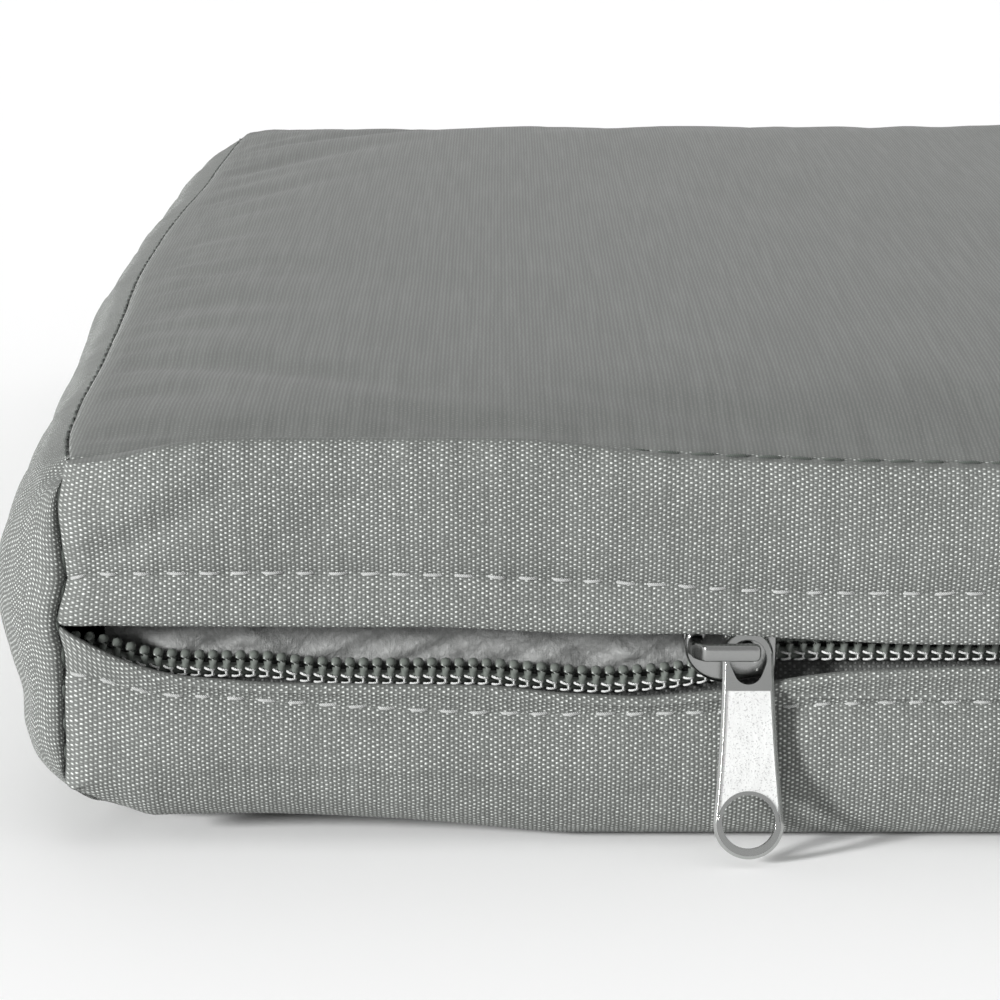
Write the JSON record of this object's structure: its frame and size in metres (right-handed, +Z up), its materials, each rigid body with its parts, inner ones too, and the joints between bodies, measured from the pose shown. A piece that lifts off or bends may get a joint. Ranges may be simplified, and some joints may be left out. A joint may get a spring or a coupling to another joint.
{
  "type": "kneeling pad",
  "caption": "Flat rectangular kneeling pad: foam core in a boxed woven cover with a coil zip, metal slider and pull tab along one long side.",
  "frame": {"origin": "centre of the underside, on the surface the pad lies on", "axes": "+Z up through the pad's thickness, +X along the zip, -Y out of the zip side"},
  "size_m": [0.4366, 0.2865, 0.046],
  "materials": {
    "cover_fabric": "plain-woven polyester, mid grey, slightly glossy threads",
    "liner_fleece": "spunbond non-woven, pale grey",
    "foam": "polyurethane foam, open cell",
    "zip_tape": "woven polyester tape, grey",
    "coil_nylon": "nylon monofilament, dark grey-green, satin",
    "thread": "spun polyester sewing thread, pale grey",
    "slider_metal": "die-cast zinc, nickel plated, satin",
    "tab_metal": "die-cast zinc, nickel plated, with a matt sand-blasted panel"
  },
  "bodies": {
    "root": {"foam_core": "foam", "inner_liner": "liner_fleece", "top_panel": "cover_fabric", "bottom_panel": "cover_fabric", "side_panel_left": "cover_fabric", "side_panel_right": "cover_fabric", "back_panel": "cover_fabric", "zip_facing_upper": "cover_fabric", "zip_facing_lower": "cover_fabric", "zip_tape_upper": "zip_tape", "zip_tape_lower": "zip_tape", "zip_coil_upper": "coil_nylon", "zip_coil_lower": "coil_nylon", "coil_core_cord_upper": "thread", "coil_core_cord_lower": "thread", "coil_stitching_upper": "thread", "coil_stitching_lower": "thread", "topstitch_upper": "thread", "topstitch_lower": "thread", "seam_thread_top": "thread", "seam_thread_bottom": "thread", "seam_thread_corners": "thread"},
    "slider": {"slider_body": "slider_metal"},
    "pull_tab": {"pull_tab": "tab_metal"}
  },
  "joints": [
    {"name": "zip_slide", "type": "slide", "parent": "root", "child": "slider", "axis": [1, 0, 0], "range_m": [-0.0635, 0.3535], "deforming": ["zip_tape_upper", "zip_tape_lower", "zip_coil_upper", "zip_coil_lower", "coil_core_cord_upper", "coil_core_cord_lower", "coil_stitching_upper", "coil_stitching_lower"]},
    {"name": "tab_swing", "type": "hinge", "parent": "slider", "child": "pull_tab", "pos_m": [-0.1437, -0.14, 0.0222], "axis": [0, -0.9659, 0.2588], "range_deg": [-42, 75]}
  ]
}
